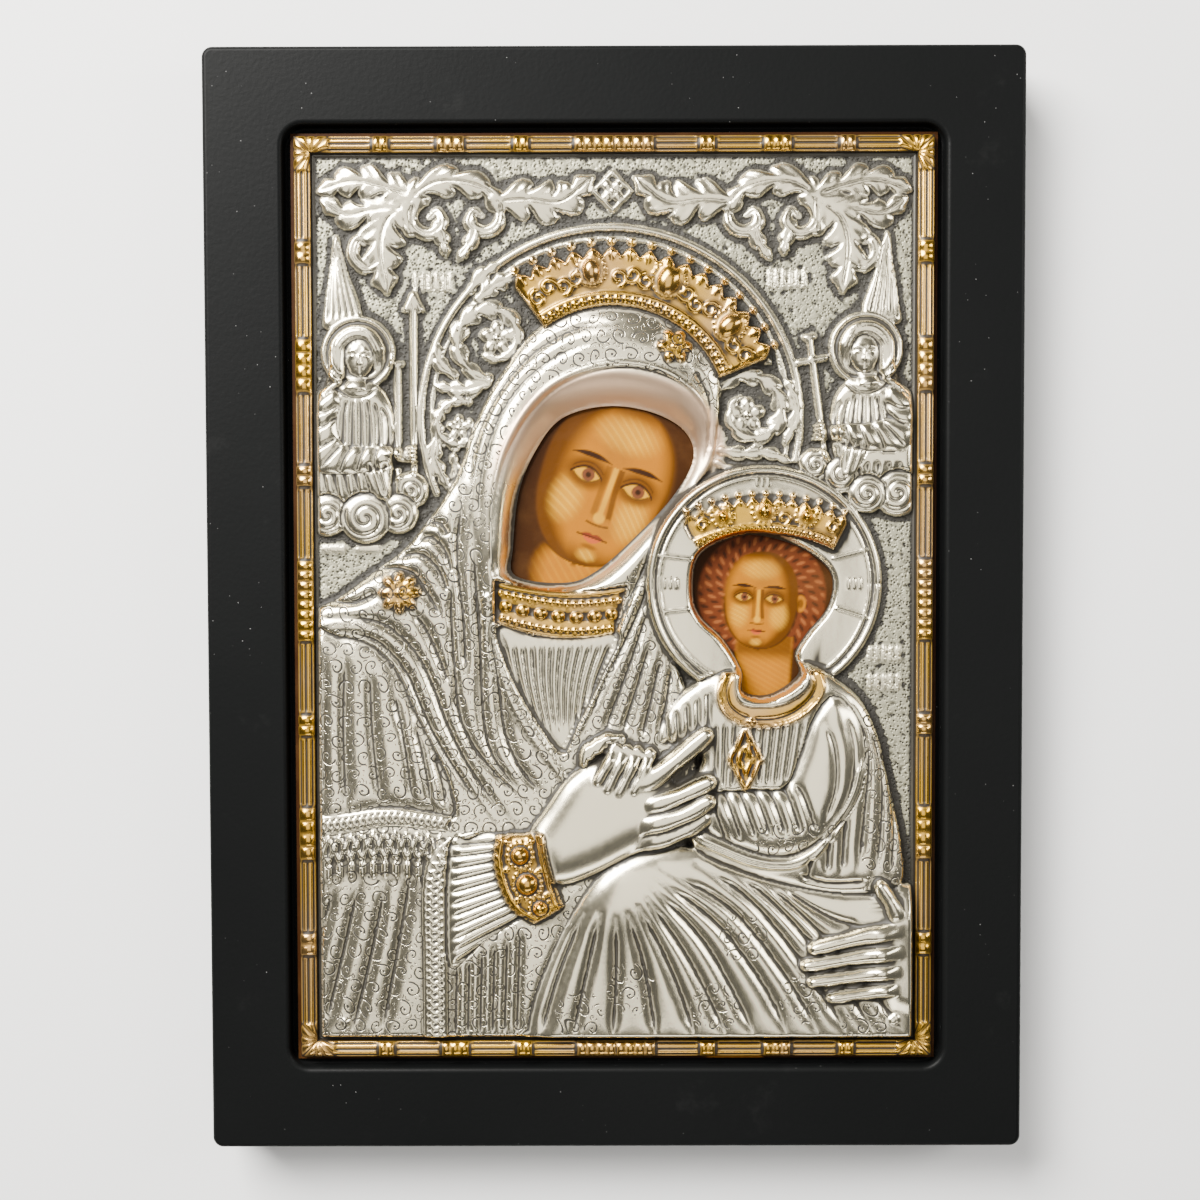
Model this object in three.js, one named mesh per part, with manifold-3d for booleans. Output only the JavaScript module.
// A devotional icon panel: a black lacquered board with a routed recess, a thin painted panel lying in the
// recess, and over it a pressed metal cover in relief with two openings that leave the painted heads in view.
// Units are millimetres. The panel lies on its back: +Z is the way the picture faces, +Y is its top.
import * as THREE from "three";
import { mergeVertices } from "three/addons/utils/BufferGeometryUtils.js";
import Module from "manifold-3d";

const wasm = await Module();
wasm.setup();

// Driving dimensions
const BOARD = { width: 200, height: 270, thickness: 18, corner: 2, edge: 1.2 };
const RECESS = { width: 161, height: 231, corner: 5, depth: 6, lip: 1.2, lipSteps: 2 };
const PANEL = { width: 158, height: 228, corner: 3, thickness: 2.7 };
const COVER = { width: 156, height: 226, corner: 3.5 };
const GLUE_GAP = 0.3;
const PICTURE_Y = 0.5; // the picture sits a little above the board's middle

// Levels, measured up from the board's back
const RECESS_FLOOR = BOARD.thickness - RECESS.depth;
const PANEL_TOP = RECESS_FLOOR + GLUE_GAP + PANEL.thickness;
const COVER_BACK = PANEL_TOP + GLUE_GAP;
const GROUND = COVER_BACK + 1.2; // face of the stippled ground between the figures

// The gilt border: half-round bars with raised rings on a low fillet
const BORDER = { width: 5, barWidth: 4.2, crest: 3.2, ringRise: 0.5, filletRise: 0.3 };
const FIELD = { width: COVER.width - 2 * BORDER.width + 1, height: COVER.height - 2 * BORDER.width + 1 };

// Relief heights above the ground
const RISE = { virgin: 3.4, hood: 4.6, child: 5, knees: 5.6, halo: 1, fold: 0.9, crown: 2.4, angel: 2.2 };
const SHOULDER = 7; // how far in from an outline a swelling form keeps rising
const GRID_POWER = 6; // the relief is sampled on 2^power cells each way
const RELIEF_TOLERANCE = 1.2; // largest distance in millimetres between the faces and the form they follow

// Solids

/** Turns a closed geometry into a solid for joining and cutting. */
function solidOf(geometry) {
  const bare = new THREE.BufferGeometry();
  bare.setAttribute("position", geometry.getAttribute("position").clone());
  if (geometry.index) {
    bare.setIndex(geometry.index);
  }
  const merged = mergeVertices(bare, 1e-4);
  return new wasm.Manifold(
    new wasm.Mesh({
      numProp: 3,
      vertProperties: new Float32Array(merged.attributes.position.array),
      triVerts: new Uint32Array(merged.index.array),
    }),
  );
}

/** Turns a solid back into a geometry with flat-shaded faces. */
function geometryOf(solid) {
  const mesh = solid.getMesh();
  const geometry = new THREE.BufferGeometry();
  geometry.setAttribute("position", new THREE.BufferAttribute(mesh.vertProperties, 3));
  geometry.setIndex(new THREE.BufferAttribute(mesh.triVerts, 1));
  geometry.computeVertexNormals();
  return geometry;
}

/** A rectangle with round corners, centred on the picture. */
function roundedRectangle(width, height, radius, centreY = PICTURE_Y) {
  const x = width / 2;
  const y = height / 2;
  const shape = new THREE.Shape();
  shape.absarc(x - radius, centreY + y - radius, radius, 0, Math.PI / 2);
  shape.absarc(-x + radius, centreY + y - radius, radius, Math.PI / 2, Math.PI);
  shape.absarc(-x + radius, centreY - y + radius, radius, Math.PI, 1.5 * Math.PI);
  shape.absarc(x - radius, centreY - y + radius, radius, 1.5 * Math.PI, 2 * Math.PI);
  return shape;
}

/** A flat plate with that outline between two levels. */
function plate(shape, bottom, top, curveSegments = 4) {
  const settings = { depth: top - bottom, bevelEnabled: false, curveSegments };
  const geometry = new THREE.ExtrudeGeometry(shape, settings);
  return geometry.translate(0, 0, bottom);
}

// Curves and outlines in the picture plane

/** Points along a smooth curve through a few given points. */
function spline(points, samples, closed = false) {
  const through = points.map(([x, y]) => new THREE.Vector3(x, y, 0));
  const curve = new THREE.CatmullRomCurve3(through, closed, "centripetal");
  return curve.getPoints(samples).slice(0, closed ? samples : samples + 1);
}

/** Points along an arc, angles in degrees. */
function arc(centre, radius, from, to, samples) {
  return Array.from({ length: samples + 1 }, (_, i) => {
    const angle = THREE.MathUtils.degToRad(from + ((to - from) * i) / samples);
    return new THREE.Vector3(centre[0] + radius * Math.cos(angle), centre[1] + radius * Math.sin(angle), 0);
  });
}

/** Points along a spiral that winds in from one radius to another, angles in degrees. */
function spiral(centre, fromRadius, toRadius, from, to, samples) {
  return Array.from({ length: samples + 1 }, (_, i) => {
    const t = i / samples;
    const radius = fromRadius + (toRadius - fromRadius) * t;
    const angle = THREE.MathUtils.degToRad(from + (to - from) * t);
    return new THREE.Vector3(centre[0] + radius * Math.cos(angle), centre[1] + radius * Math.sin(angle), 0);
  });
}

/** Distance from a point to a closed outline, positive inside it. */
function insideBy(outline, x, y) {
  let nearest = Infinity;
  let inside = false;
  for (let i = 0, j = outline.length - 1; i < outline.length; j = i, i += 1) {
    const a = outline[j];
    const b = outline[i];
    const dx = b.x - a.x;
    const dy = b.y - a.y;
    const t = THREE.MathUtils.clamp(((x - a.x) * dx + (y - a.y) * dy) / (dx * dx + dy * dy), 0, 1);
    nearest = Math.min(nearest, Math.hypot(x - a.x - t * dx, y - a.y - t * dy));
    if (a.y > y !== b.y > y && x < a.x + ((y - a.y) * dx) / dy) {
      inside = !inside;
    }
  }
  return inside ? nearest : -nearest;
}

// Outlines of the large forms
const OUTLINE_SAMPLES = 72;
const OUTLINES = {
  virgin: [
    [-76, -1], [-66, 1.5], [-59, 6.5], [-50, 13], [-45, 19.5], [-41, 28], [-36, 40], [-29, 53], [-19, 66],
    [-8, 71.5], [4, 72], [15, 68], [23, 59.5], [25, 50], [24.5, 38], [20, 27], [16, 8], [14, -8], [18, -24],
    [20, -45], [16, -62], [-8, -78], [-22, -112], [-76, -112],
  ],
  hood: [
    [-32, -2], [-36, 20], [-34, 42], [-26, 57], [-14, 67], [0, 71], [13, 67], [22, 57], [24.5, 45], [22, 31],
    [10, 17], [0, 4], [-14, -2],
  ],
  child: [
    [11, -29], [15, -23.5], [24, -17.5], [34, -15], [45, -14.5], [53, -18.5], [61, -26], [65, -35], [68, -47],
    [70, -62], [69.5, -73], [58, -76], [44, -70], [30, -66], [19, -60], [16, -48],
  ],
  knees: [
    [-25, -112], [-20, -97], [-11, -80], [-1, -66], [10, -60.5], [24, -61], [40, -65], [56, -71], [69, -77],
    [78, -90], [78, -112],
  ],
  face: [
    [-24.5, 6.5], [-25, 14], [-23.5, 27], [-19.5, 37], [-13, 45], [-2, 48], [9, 46.5], [17, 42], [19.3, 35],
    [14, 25.5], [5, 16], [-4, 8], [-12, 4.8],
  ],
  childHead: [
    [19.2, 2], [20.5, 11], [28, 15.4], [36, 16.2], [46, 13], [53, 7], [52.5, -1], [47, -8], [44.2, -13],
    [45, -18], [38, -22.8], [31.5, -22], [31, -16.5], [26.5, -9], [21, -3.5],
  ],
  palm: [
    [-21, -57], [-15, -47], [-9, -38], [2, -36], [12, -37],
    [20, -37], [19, -47], [10, -53], [-2, -60], [-13, -69],
    [-18, -64],
  ],
  sleeve: [[-41, -58], [-30, -56], [-22, -56], [-14, -70], [-20, -76], [-41, -89]],
  leftAngel: [[-75, 52], [-66, 54.5], [-58, 54], [-54, 47], [-53, 38], [-56, 30], [-62, 26], [-75, 25]],
  rightAngel: [[75, 55], [67, 55.5], [58, 54], [55, 46], [56, 38], [60, 33], [75, 31]],
};
for (const name of Object.keys(OUTLINES)) {
  OUTLINES[name] = spline(OUTLINES[name], OUTLINE_SAMPLES, true);
}

const VIRGIN_HALO = { centre: [-1, 45], radius: 46.3 };
const CHILD_HALO = { centre: [36.5, 4.5], radius: 27.5, leftLevel: 3, rightLevel: 0.6 };
const CLOUDS = [
  [-70.5, 22, 5], [-60.5, 22, 6], [-53.5, 23, 5.5], [-51, 28, 5], [50, 33, 4.5], [56, 31, 5], [62, 27, 5],
  [69.5, 28, 6],
];

/** A form that swells up from its outline and levels off. */
function swell(outline, rise, shoulder, x, y) {
  const depth = insideBy(outline, x, y);
  if (depth <= 0) {
    return 0;
  }
  const share = Math.min(1, depth / shoulder);
  return rise * Math.sin((share * Math.PI) / 2);
}

/** A shallow dome over a circle. */
function dome(centreX, centreY, radius, rise, x, y) {
  const share = Math.hypot(x - centreX, y - centreY) / radius;
  return share < 1 ? (rise * (1 + Math.cos(Math.PI * share))) / 2 : 0;
}

/** The halo behind the child's head, a disc that leans from the mantle down to the ground. */
function childDisc(x, y) {
  const [cx, cy] = CHILD_HALO.centre;
  const inward = CHILD_HALO.radius + 1 - Math.hypot(x - cx, y - cy);
  const share = (x - cx + CHILD_HALO.radius) / (2 * CHILD_HALO.radius);
  const level = CHILD_HALO.leftLevel + (CHILD_HALO.rightLevel - CHILD_HALO.leftLevel) * share;
  return level * THREE.MathUtils.smoothstep(inward, -1, 1.5);
}

/** How far the metal has come up from an opening's edge, from 0 at the edge to 1. */
function openingLip(outline, reach, x, y) {
  const share = THREE.MathUtils.clamp(-insideBy(outline, x, y) / reach, 0, 1);
  return Math.sin((share * Math.PI) / 2);
}

const OPENING_EDGE = -0.8; // level of the metal at the rim of an opening
const ARM = { from: [25, -51], to: [45, -54], radius: 8, rise: 6.6 };

/** Height of the child's forearm, a capsule lying across the lap. */
function forearm(x, y) {
  const [ax, ay] = ARM.from;
  const dx = ARM.to[0] - ax;
  const dy = ARM.to[1] - ay;
  const t = THREE.MathUtils.clamp(((x - ax) * dx + (y - ay) * dy) / (dx * dx + dy * dy), 0, 1);
  return dome(ax + t * dx, ay + t * dy, ARM.radius, ARM.rise, x, y);
}

/** Height of the large forms above the ground, without folds and ornament. */
function formHeight(x, y) {
  const heights = [
    swell(OUTLINES.virgin, RISE.virgin, SHOULDER, x, y),
    swell(OUTLINES.hood, RISE.hood, SHOULDER, x, y),
    childDisc(x, y),
    swell(OUTLINES.child, RISE.child, SHOULDER, x, y),
    swell(OUTLINES.knees, RISE.knees, SHOULDER + 3, x, y),
    swell(OUTLINES.sleeve, 5.4, SHOULDER, x, y),
    swell(OUTLINES.palm, 6.4, SHOULDER, x, y),
    swell(OUTLINES.leftAngel, RISE.angel, 3, x, y),
    swell(OUTLINES.rightAngel, RISE.angel, 3, x, y),
    forearm(x, y),
    ...CLOUDS.map(([cx, cy, radius]) => dome(cx, cy, radius, 2, x, y)),
  ];
  const highest = Math.max(...heights);
  const lip = openingLip(OUTLINES.face, 8, x, y) * openingLip(OUTLINES.childHead, 2.5, x, y);
  const toSide = FIELD.width / 2 - Math.abs(x);
  const toEnd = FIELD.height / 2 - Math.abs(y - PICTURE_Y);
  const inset = THREE.MathUtils.smoothstep(Math.min(toSide, toEnd), 0.6, 2.4);
  return (OPENING_EDGE + (highest - OPENING_EDGE) * lip) * inset;
}

// The swelling ground as an adaptive grid of right triangles

/** Sampled heights of the forms, on a square grid stretched over the field. */
function sampleField() {
  const size = 2 ** GRID_POWER + 1;
  const at = (column, row) => [
    -FIELD.width / 2 + (FIELD.width * column) / (size - 1),
    PICTURE_Y - FIELD.height / 2 + (FIELD.height * row) / (size - 1),
  ];
  const heights = new Float32Array(size * size);
  for (let row = 0; row < size; row += 1) {
    for (let column = 0; column < size; column += 1) {
      const [x, y] = at(column, row);
      heights[row * size + column] = formHeight(x, y);
    }
  }
  return { size, at, heights };
}

/** Corners of every right triangle of the full binary tree, finest level last, as grid places. */
function* trianglesOf(size) {
  const pending = [
    [0, 0, size - 1, size - 1, size - 1, 0],
    [size - 1, size - 1, 0, 0, 0, size - 1],
  ];
  for (const [ax, ay, bx, by, cx, cy] of pending) {
    yield [ax, ay, bx, by, cx, cy];
    if (Math.abs(ax - cx) + Math.abs(ay - cy) > 1) {
      const mx = (ax + bx) / 2;
      const my = (ay + by) / 2;
      pending.push([cx, cy, ax, ay, mx, my], [bx, by, cx, cy, mx, my]);
    }
  }
}

/** The height error that leaving out each long-edge midpoint would cause, finer errors carried up. */
function midpointErrors(size, heights) {
  const errors = new Float32Array(size * size);
  const all = [...trianglesOf(size)].reverse();
  for (const [ax, ay, bx, by, cx, cy] of all) {
    if ((ax + bx) % 2 || (ay + by) % 2) {
      continue;
    }
    const middle = ((ay + by) / 2) * size + (ax + bx) / 2;
    const straight = (heights[ay * size + ax] + heights[by * size + bx]) / 2;
    errors[middle] = Math.max(errors[middle], Math.abs(straight - heights[middle]));
    if ((ax + cx) % 2 === 0 && (ay + cy) % 2 === 0) {
      const left = ((ay + cy) / 2) * size + (ax + cx) / 2;
      const right = ((by + cy) / 2) * size + (bx + cx) / 2;
      errors[middle] = Math.max(errors[middle], errors[left], errors[right]);
    }
  }
  return errors;
}

/** The large forms as one closed solid with a flat back. */
function formSolid() {
  const { size, at, heights } = sampleField();
  const errors = midpointErrors(size, heights);
  const places = new Map();
  const positions = [];
  const triangles = [];
  const vertex = (column, row) => {
    const key = row * size + column;
    if (!places.has(key)) {
      places.set(key, positions.length / 3);
      positions.push(...at(column, row), GROUND + heights[key]);
    }
    return places.get(key);
  };
  const split = (ax, ay, bx, by, cx, cy) => {
    const mx = (ax + bx) / 2;
    const my = (ay + by) / 2;
    if (Math.abs(ax - cx) + Math.abs(ay - cy) > 1 && errors[my * size + mx] > RELIEF_TOLERANCE) {
      split(cx, cy, ax, ay, mx, my);
      split(bx, by, cx, cy, mx, my);
    } else {
      triangles.push([vertex(ax, ay), vertex(cx, cy), vertex(bx, by)]);
    }
  };
  split(0, 0, size - 1, size - 1, size - 1, 0);
  split(size - 1, size - 1, 0, 0, 0, size - 1);
  closeBelow(positions, triangles);
  const geometry = new THREE.BufferGeometry();
  geometry.setAttribute("position", new THREE.Float32BufferAttribute(positions, 3));
  geometry.setIndex(triangles.flat());
  return solidOf(geometry);
}

/** Adds walls under a surface's rim and a flat back, fanned from its middle. */
function closeBelow(positions, triangles) {
  const directed = new Map();
  for (const [a, b, c] of triangles) {
    directed.set(`${a},${b}`, [a, b]);
    directed.set(`${b},${c}`, [b, c]);
    directed.set(`${c},${a}`, [c, a]);
  }
  const rim = [...directed.values()].filter(([a, b]) => !directed.has(`${b},${a}`));
  const below = new Map();
  const foot = (index) => {
    if (!below.has(index)) {
      below.set(index, positions.length / 3);
      positions.push(positions[3 * index], positions[3 * index + 1], COVER_BACK);
    }
    return below.get(index);
  };
  const middle = positions.length / 3;
  positions.push(0, PICTURE_Y, COVER_BACK);
  for (const [a, b] of rim) {
    triangles.push([b, a, foot(a)], [b, foot(a), foot(b)], [foot(b), foot(a), middle]);
  }
}

// Ridges and bosses laid on the forms, each a solid that stands on the cover's back

const SUNK = 0.4; // how far the foot of a ridge or boss is bedded in the form under it
const TAPER = {
  cord: (t) => Math.min(1, 0.3 + 3 * t, 0.3 + 3 * (1 - t)),
  leaf: (t) => Math.sin(Math.PI * (0.08 + 0.84 * t)),
};

/** A bar between stations that each give the same number of section points, closed at both ends. */
function loft(stations) {
  const corners = stations[0].length;
  const last = stations.length - 1;
  const triangles = [];
  for (let i = 0; i < last; i += 1) {
    for (let k = 0; k < corners; k += 1) {
      const here = corners * i + k;
      const next = corners * i + ((k + 1) % corners);
      triangles.push(here, here + corners, next, next, here + corners, next + corners);
    }
  }
  const end = corners * last;
  for (let k = 1; k + 1 < corners; k += 1) {
    triangles.push(0, k, k + 1, end, end + k + 1, end + k);
  }
  const geometry = new THREE.BufferGeometry();
  geometry.setAttribute("position", new THREE.Float32BufferAttribute(stations.flat(2), 3));
  geometry.setIndex(triangles);
  return geometry;
}

/** A roof-shaped ridge along a line of points, following the form under it. */
function ridge(line, halfWidth, rise, taper = TAPER.cord) {
  const last = line.length - 1;
  const stations = line.map(({ x, y }, i) => {
    const before = line[Math.max(0, i - 1)];
    const after = line[Math.min(last, i + 1)];
    const share = Math.max(0.12, taper(i / last));
    const wide = (halfWidth * (0.35 + 0.65 * share)) / Math.hypot(after.x - before.x, after.y - before.y);
    const sideX = wide * (after.y - before.y);
    const sideY = -wide * (after.x - before.x);
    const base = Math.max(COVER_BACK + 2 * SUNK, GROUND + formHeight(x, y));
    return [
      [x + sideX, y + sideY, COVER_BACK],
      [x + sideX, y + sideY, base - SUNK],
      [x, y, base + rise * share],
      [x - sideX, y - sideY, base - SUNK],
      [x - sideX, y - sideY, COVER_BACK],
    ];
  });
  return solidOf(loft(stations));
}

/** A round boss such as a pearl, a stone or a head, or a pyramid when it has four sides. */
function boss(x, y, radius, rise, sides = 6) {
  const base = Math.max(2 * SUNK, GROUND + formHeight(x, y) - COVER_BACK);
  const shoulder = [radius * 0.7, base + rise * 0.7];
  const profile = [[0, 0], [radius, 0], [radius, base - SUNK], shoulder, [0, base + rise]];
  const turned = new THREE.LatheGeometry(profile.map(([r, z]) => new THREE.Vector2(r, z)), sides);
  return solidOf(turned.rotateX(Math.PI / 2).translate(x, y, COVER_BACK));
}

const FOLD_STEPS = 2;

/** A fold of cloth: a broad ridge along a curve through a few points. */
function fold(points, halfWidth = 1.7, rise = RISE.fold) {
  return ridge(spline(points, points.length > 2 ? FOLD_STEPS : 2), halfWidth, rise);
}

/** Folds spread evenly between a first and a last one, each given by the same number of points. */
function foldsBetween(first, last, count, halfWidth, rise) {
  return Array.from({ length: count }, (_, i) => {
    const t = count > 1 ? i / (count - 1) : 0;
    const points = first.map(([x, y], k) => [x + (last[k][0] - x) * t, y + (last[k][1] - y) * t]);
    return fold(points, halfWidth, rise);
  });
}

/** The virgin's mantle: sweeping folds, shoulder cape, hanging end, pleated chest and sleeve. */
function mantle() {
  const shoulderFold = [[-70, -5], [-56, -8], [-44, -28], [-27, -53]];
  const neckFold = [[-29, 4], [-30, -14], [-27, -30], [-14, -47]];
  return [
    ...foldsBetween(shoulderFold, neckFold, 4, 3, 1.2),
    ...foldsBetween([[-68, -14], [-69, -30], [-69, -48]], [[-55, -18], [-50, -32], [-47, -48]], 2, 3.2, 1.2),
    fold([[-72, -54], [-56, -52.5], [-42, -53]], 2.6, 1.2),
    ...foldsBetween([[-66, -66], [-69, -80], [-71, -98]], [[-53, -66], [-56, -82], [-61, -104]], 2, 3),
    fold([[-44.5, -62], [-44, -84], [-44, -105]], 2.8),
    ...foldsBetween([[-25, -11], [-19, -25]], [[-6, -11], [-11, -26]], 3, 2.2, 1),
    ...foldsBetween([[-30, -63], [-40, -63]], [[-26, -74], [-40, -84]], 2, 3, 1),
    fold([[-32, -90], [-32, -105]], 3),
    ...foldsBetween([[2, 8], [-2, -12], [-10, -30]], [[13, -12], [10, -22], [8, -33]], 2, 2.8),
    fold([[-35, 4], [-36, 24], [-31, 44], [-21, 60]], 2.4),
  ];
}

/** The drapery over the child's knees: folds that fan out from the raised knee. */
function kneeDrapery() {
  return [
    ...foldsBetween([[-4, -72], [-12, -88], [-18, -105]], [[14, -67], [36, -84], [58, -105]], 6, 2.8, 1.3),
    fold([[20, -64], [43, -73], [60, -81]], 2.6, 1.2),
  ];
}

/** The child's shirt, sleeve and cloak. */
function childDress() {
  return [
    ...foldsBetween([[27, -31], [26, -44]], [[42, -31], [40, -43]], 3, 2.2, 1),
    ...foldsBetween([[27, -46], [32, -57]], [[39, -46], [45, -55]], 2, 2.6, 1.1),
    fold([[60, -36], [56, -50], [46, -61], [32, -61], [20, -56]], 2, 1.2),
    ...foldsBetween([[57, -26], [61, -44], [58, -64]], [[61, -28], [67, -48], [67, -68]], 2, 2.2, 1),
    ridge(arc([36.5, -12], 15.5, 205, 335, 6), 2.4, 1.4),
  ];
}

/** Fingers as ridges: the virgin's right hand with the child's fingers on it, and her left hand below. */
function hands() {
  const first = [[46.5, -83.5], [58, -83.5], [70, -80]];
  const last = [[53, -96], [61, -96], [69, -94]];
  return [
    fold([[0, -46], [10, -40], [21, -31.5]], 2.4, 1.5),
    fold([[1, -52], [12, -47.5], [20, -43.5]], 2.6, 1.4),
    ...foldsBetween([[-5, -43], [-1, -33]], [[3, -43], [7, -37]], 2, 2.4, 1.2),
    ...foldsBetween(first, last, 4, 2.4, 2.2),
    fold([[64, -69], [66.5, -73], [70, -78]], 2.2, 2),
  ];
}

/** The gilt cuff on the virgin's sleeve: two rims with stones between. */
function cuff() {
  const stones = [[-25, -60.5, 2.4], [-22.5, -67.5, 2.8], [-18.5, -72.5, 2.2]];
  return [
    fold([[-27.5, -56], [-29, -64], [-25.5, -71], [-20.5, -75.5]], 1.2, 1.2),
    fold([[-20, -55.5], [-19.5, -61.5], [-17, -66.5], [-13, -69.5]], 1.2, 1.2),
    ...stones.map(([x, y, radius]) => boss(x, y, radius, 1.5)),
  ];
}

// Crowns in polar places about the middle of the head
const CROWN = { centre: [-0.5, 44], band: 29.6, stones: 36.5, tips: 43.3, from: 125, to: 24 };
const CHILD_CROWN = { centre: [36.5, -12], band: 29.6, tips: 37, from: 118, to: 58 };

/** A crown: a raised band, a row of stones above it, and pearled tips on tapering points. */
function crown({ centre, band, tips, from, to }, stoneCount, tipCount, size) {
  const place = (radius, angle) => {
    const [point] = arc(centre, radius, angle, angle, 1);
    return point;
  };
  const middle = (band + tips) / 2;
  const parts = [
    ridge(arc(centre, band, from, to, 8), size, RISE.crown * 0.6),
    ridge(arc(centre, middle, from, to, 8), size * 2.2, RISE.crown * 0.75),
  ];
  for (let i = 0; i < stoneCount; i += 1) {
    const point = place(middle, from + ((to - from) * (i + 0.5)) / stoneCount);
    parts.push(boss(point.x, point.y, size * 1.5, RISE.crown));
  }
  for (let i = 0; i < tipCount; i += 1) {
    const angle = from + ((to - from) * (i + 0.5)) / tipCount;
    const tip = place(tips, angle);
    parts.push(ridge([place(band, angle), tip], size, RISE.crown * 0.7));
    parts.push(boss(tip.x, tip.y, size * 0.75, RISE.crown * 0.6));
  }
  return parts;
}

/** Collar of beads round the virgin's neck, bounded by two rims. */
function neckBand() {
  return [
    fold([[-29, 3.5], [-20, 1.5], [-10, 0], [0, 1]], 1, 0.9),
    fold([[-28, -5.5], [-20, -7.5], [-10, -8.6], [-1, -8]], 1, 0.9),
    ...Array.from({ length: 5 }, (_, i) => boss(-25 + 5.3 * i, -1.5 - 0.9 * i + 0.125 * i * i, 1.6, 1.1, 4)),
  ];
}

/** Rings of the two halos and the scrolls that fill the large one. */
function halos() {
  return [
    ridge(arc(VIRGIN_HALO.centre, VIRGIN_HALO.radius, 202, -13, 18), 1.1, RISE.halo),
    ridge(arc(CHILD_HALO.centre, CHILD_HALO.radius, 235, -52, 15), 1, RISE.halo),
    ridge(spiral([-29.5, 64], 9.5, 4, 250, -190, 9), 1.2, 0.9),
    ridge(spiral([-38, 43], 7, 2.5, 100, 470, 8), 1.1, 0.9),
    ridge(spiral([33, 46], 8.5, 3.5, 120, -270, 9), 1.2, 0.9),
    ridge(spline([[27, 33], [33, 36.5], [40, 35]], 4), 1.2, 0.8, TAPER.leaf),
    boss(-28.5, 64, 2, 1),
    boss(-38, 43, 1.8, 1),
    boss(33, 45.5, 2, 1),
  ];
}

/** One acanthus scroll of the top corners, side -1 on the left and 1 on the right. */
function acanthus(side) {
  const leaf = (points, halfWidth) => {
    const placed = points.map(([x, y]) => [side * x, y]);
    return ridge(spline(placed, 2), halfWidth, 1.3, TAPER.leaf);
  };
  return [
    leaf([[48, 94], [46, 101], [38, 103], [30, 100], [27, 96]], 2.6),
    leaf([[27, 97], [20, 97.5], [13, 97], [7, 102]], 2.9),
    leaf([[27, 97], [28, 92], [31, 91], [34, 94]], 1.9),
    leaf([[48, 96], [46, 91.5], [42.5, 91], [42.5, 87]], 1.8),
    leaf([[49, 97], [54, 93], [56, 86], [55, 78.5]], 3.4),
    leaf([[50, 98.5], [57, 100.5], [64, 101], [70, 101]], 2.6),
    leaf([[53, 96.5], [60, 95], [67, 94.5]], 1.9),
  ];
}

/** A half-length angel on clouds: halo, head, wing, arms and staff. side is -1 on the left. */
function angel(side, halo, head, staffs, hand) {
  const at = (points) => points.map(([x, y]) => [side * x, y]);
  return [
    ridge(arc(halo, 8.8, 248, -68, 8), 1.2, 1),
    boss(head[0], head[1], 6, 3.2),
    fold(at([[62.5, 72], [65.5, 80], [67, 89]]), 2.2, 1.5),
    fold([...at([[71, 46], [67, 40]]), hand], 2.4, 1.4),
    fold(at([[63, 53], [62, 45]]), 2.6, 1),
    ...staffs.map((points) => ridge(spline(points, 1), 1.2, 1.1)),
  ];
}

/** Ornament of the ground: corner scrolls, the small diamond, angels and strokes. */
function groundOrnament() {
  const spear = [[-48.7, 31], [-48.7, 75.5]];
  const pole = [[-52.7, 36], [-52.7, 59]];
  const crossPost = [[50.5, 36], [47.5, 65]];
  const crossBar = [[44.5, 59], [52.5, 60.5]];
  return [
    boss(-0.5, 99.8, 4.6, 1.6, 4),
    ...acanthus(-1),
    ...acanthus(1),
    ...angel(-1, [-63, 61.5], [-61.5, 60.5], [spear, pole], [-50, 38]),
    ...angel(1, [60.8, 63], [60.8, 61], [crossPost, crossBar], [49.5, 43]),
    boss(-52.7, 59, 1.6, 1.2),
  ];
}

// The border

/** Places of the rings along half a side, from its middle out, as [first, last, count] groups. */
const SIDE_RINGS = {
  short: [[0, 9.5, 2], [20.5, 24, 1], [36, 43, 1], [54.5, 58, 1]],
  long: [[0, 9.7, 2], [27, 33.5, 1], [50, 63, 2], [80.5, 87, 1]],
};

/** Places and heights of the rings along a whole side of that length. */
function ringPlaces(length, groups) {
  const half = [[0, 0]];
  for (const [first, last, count] of groups) {
    const pitch = (last - first) / count;
    for (let i = 0; i < count; i += 1) {
      half.push([first + pitch * i, 0], [first + pitch * (i + 0.5), BORDER.ringRise]);
    }
    half.push([last, 0]);
  }
  half.push([length / 2, 0]);
  const places = half.filter(([at], i) => i === 0 || at > half[i - 1][0]);
  return [...places.slice(1).reverse().map(([at, rise]) => [-at, rise]), ...places];
}

/** One bar of the border lying along X: a half-round rod with raised rings, standing on the cover's back. */
function bar(length, groups) {
  const foot = BORDER.barWidth / 2;
  return loft(
    ringPlaces(length, groups).map(([x, rise]) => {
      const crest = COVER_BACK + BORDER.crest + rise;
      return [[x, -foot, COVER_BACK], [x, -0.6 * foot, crest], [x, 0.6 * foot, crest], [x, foot, COVER_BACK]];
    }),
  );
}

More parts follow.
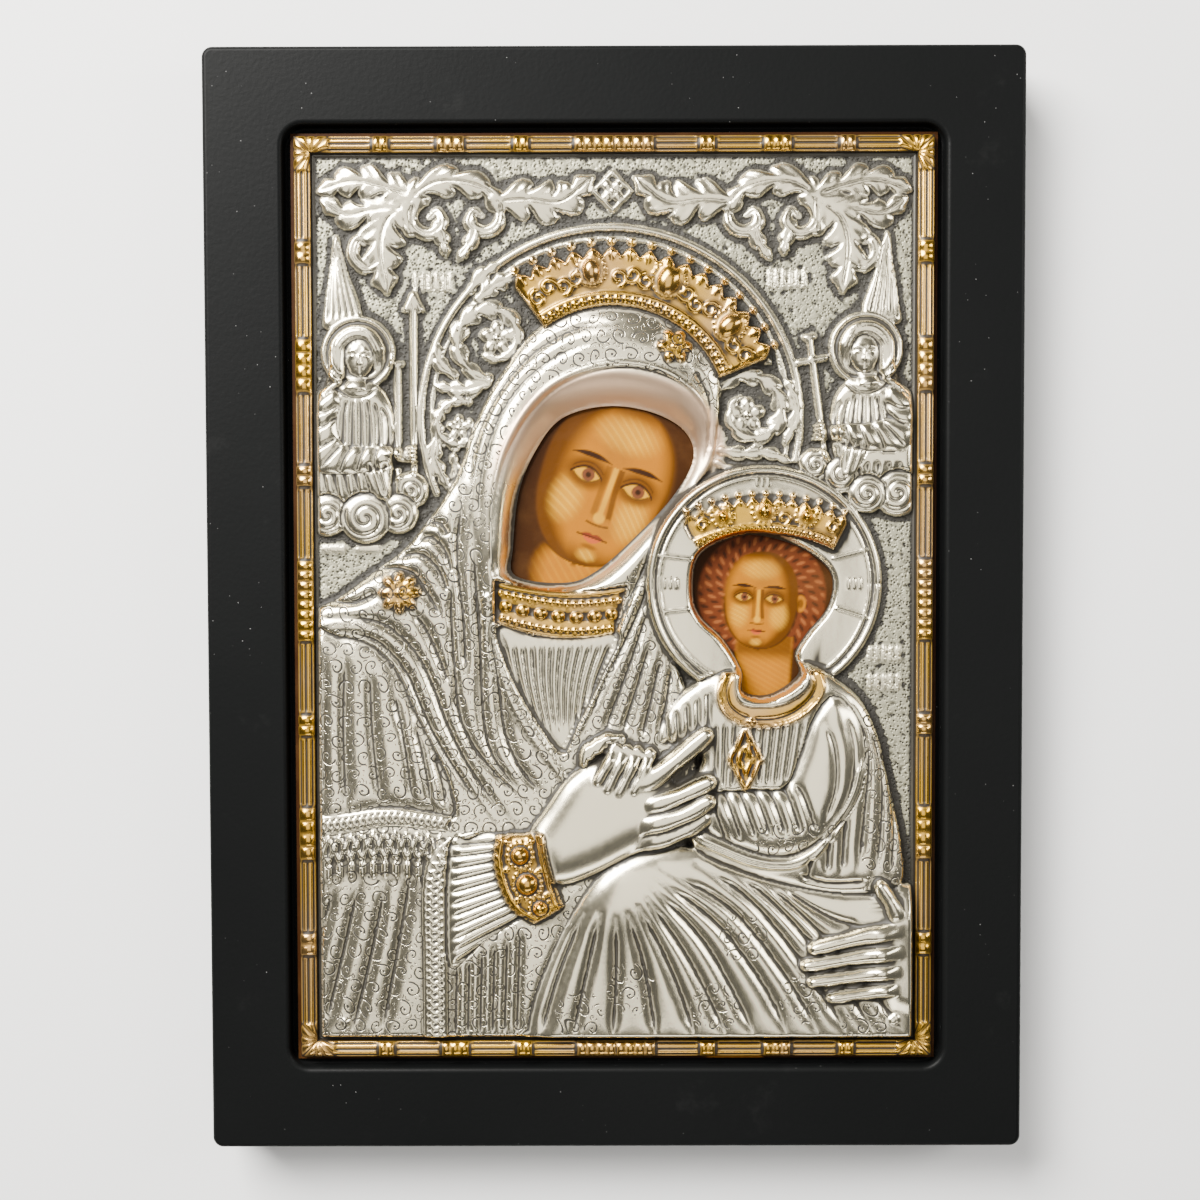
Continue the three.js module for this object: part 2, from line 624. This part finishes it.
/** The gilt border: a low fillet all round, four ringed bars on it and a knob at each corner. */
function border() {
  const fillet = roundedRectangle(COVER.width - 1, COVER.height - 1, COVER.corner);
  fillet.holes.push(roundedRectangle(FIELD.width - 2, FIELD.height - 2, 0.5));
  const parts = [solidOf(plate(fillet, COVER_BACK, GROUND + BORDER.filletRise, 3))];
  const axisX = (COVER.width - BORDER.barWidth) / 2;
  const axisY = (COVER.height - BORDER.barWidth) / 2;
  for (const side of [-1, 1]) {
    const across = bar(2 * axisX, SIDE_RINGS.short).translate(0, PICTURE_Y + side * axisY, 0);
    const upright = bar(2 * axisY, SIDE_RINGS.long).rotateZ(Math.PI / 2);
    parts.push(solidOf(across), solidOf(upright.translate(side * axisX, PICTURE_Y, 0)));
    for (const end of [-1, 1]) {
      const knob = new THREE.CylinderGeometry(0.6, BORDER.barWidth / 2, BORDER.crest + BORDER.ringRise, 6);
      knob.rotateX(Math.PI / 2).translate(0, 0, COVER_BACK + (BORDER.crest + BORDER.ringRise) / 2);
      parts.push(solidOf(knob.translate(side * axisX, PICTURE_Y + end * axisY, 0)));
    }
  }
  return parts;
}

// The three pieces

/** Every ridge and boss of the relief. */
function ornament() {
  return [
    ...halos(),
    ...mantle(),
    ...kneeDrapery(),
    ...childDress(),
    ...hands(),
    ...cuff(),
    ...neckBand(),
    ...crown(CROWN, 3, 7, 2),
    ...crown(CHILD_CROWN, 3, 6, 1.4),
    ...groundOrnament(),
  ];
}

/** The metal cover with its relief, border and two openings. */
function cover() {
  let solid = wasm.Manifold.union([formSolid(), ...ornament(), ...border()]);
  for (const outline of [OUTLINES.face, OUTLINES.childHead]) {
    const opening = new THREE.Shape(outline.map(({ x, y }) => new THREE.Vector2(x, y)));
    solid = solid.subtract(solidOf(plate(opening, RECESS_FLOOR, 3 * BOARD.thickness)));
  }
  return geometryOf(solid);
}

/** The painted panel under the cover. */
function paintedPanel() {
  const outline = roundedRectangle(PANEL.width, PANEL.height, PANEL.corner);
  return plate(outline, PANEL_TOP - PANEL.thickness, PANEL_TOP);
}

/** The lacquered board, its edges eased and its recess cut with a rounded lip. */
function board() {
  const { width, height, thickness, corner, edge } = BOARD;
  const outline = roundedRectangle(width - 2 * edge, height - 2 * edge, corner, 0);
  const block = new THREE.ExtrudeGeometry(outline, {
    depth: thickness - 2 * edge,
    bevelThickness: edge,
    bevelSize: edge,
    bevelSegments: 2,
    curveSegments: 3,
  });
  let solid = solidOf(block.translate(0, 0, edge));
  const hole = roundedRectangle(RECESS.width, RECESS.height, RECESS.corner);
  solid = solid.subtract(solidOf(plate(hole, RECESS_FLOOR, thickness + 1)));
  for (let step = 1; step <= RECESS.lipSteps; step += 1) {
    const angle = (step * Math.PI) / 2 / (RECESS.lipSteps + 1);
    const wider = 2 * RECESS.lip * (1 - Math.cos(angle));
    const level = thickness - RECESS.lip * (1 - Math.sin(angle));
    const shape = roundedRectangle(RECESS.width + wider, RECESS.height + wider, RECESS.corner + wider / 2);
    solid = solid.subtract(solidOf(plate(shape, level, thickness + 1)));
  }
  return geometryOf(solid);
}

const FINISHES = {
  lacquer: new THREE.MeshStandardMaterial({ color: 0x191a1a, roughness: 0.45, metalness: 0 }),
  paint: new THREE.MeshStandardMaterial({ color: 0xb57a2c, roughness: 0.4, metalness: 0 }),
  silver: new THREE.MeshStandardMaterial({ color: 0xc9c8bf, roughness: 0.28, metalness: 1 }),
};

/** A named piece of the panel. */
function piece(name, geometry, finish) {
  const mesh = new THREE.Mesh(geometry, finish);
  mesh.name = name;
  return mesh;
}

const icon = new THREE.Group();
icon.add(piece("board", board(), FINISHES.lacquer));
icon.add(piece("painted_panel", paintedPanel(), FINISHES.paint));
icon.add(piece("relief_cover", cover(), FINISHES.silver));

export default icon;
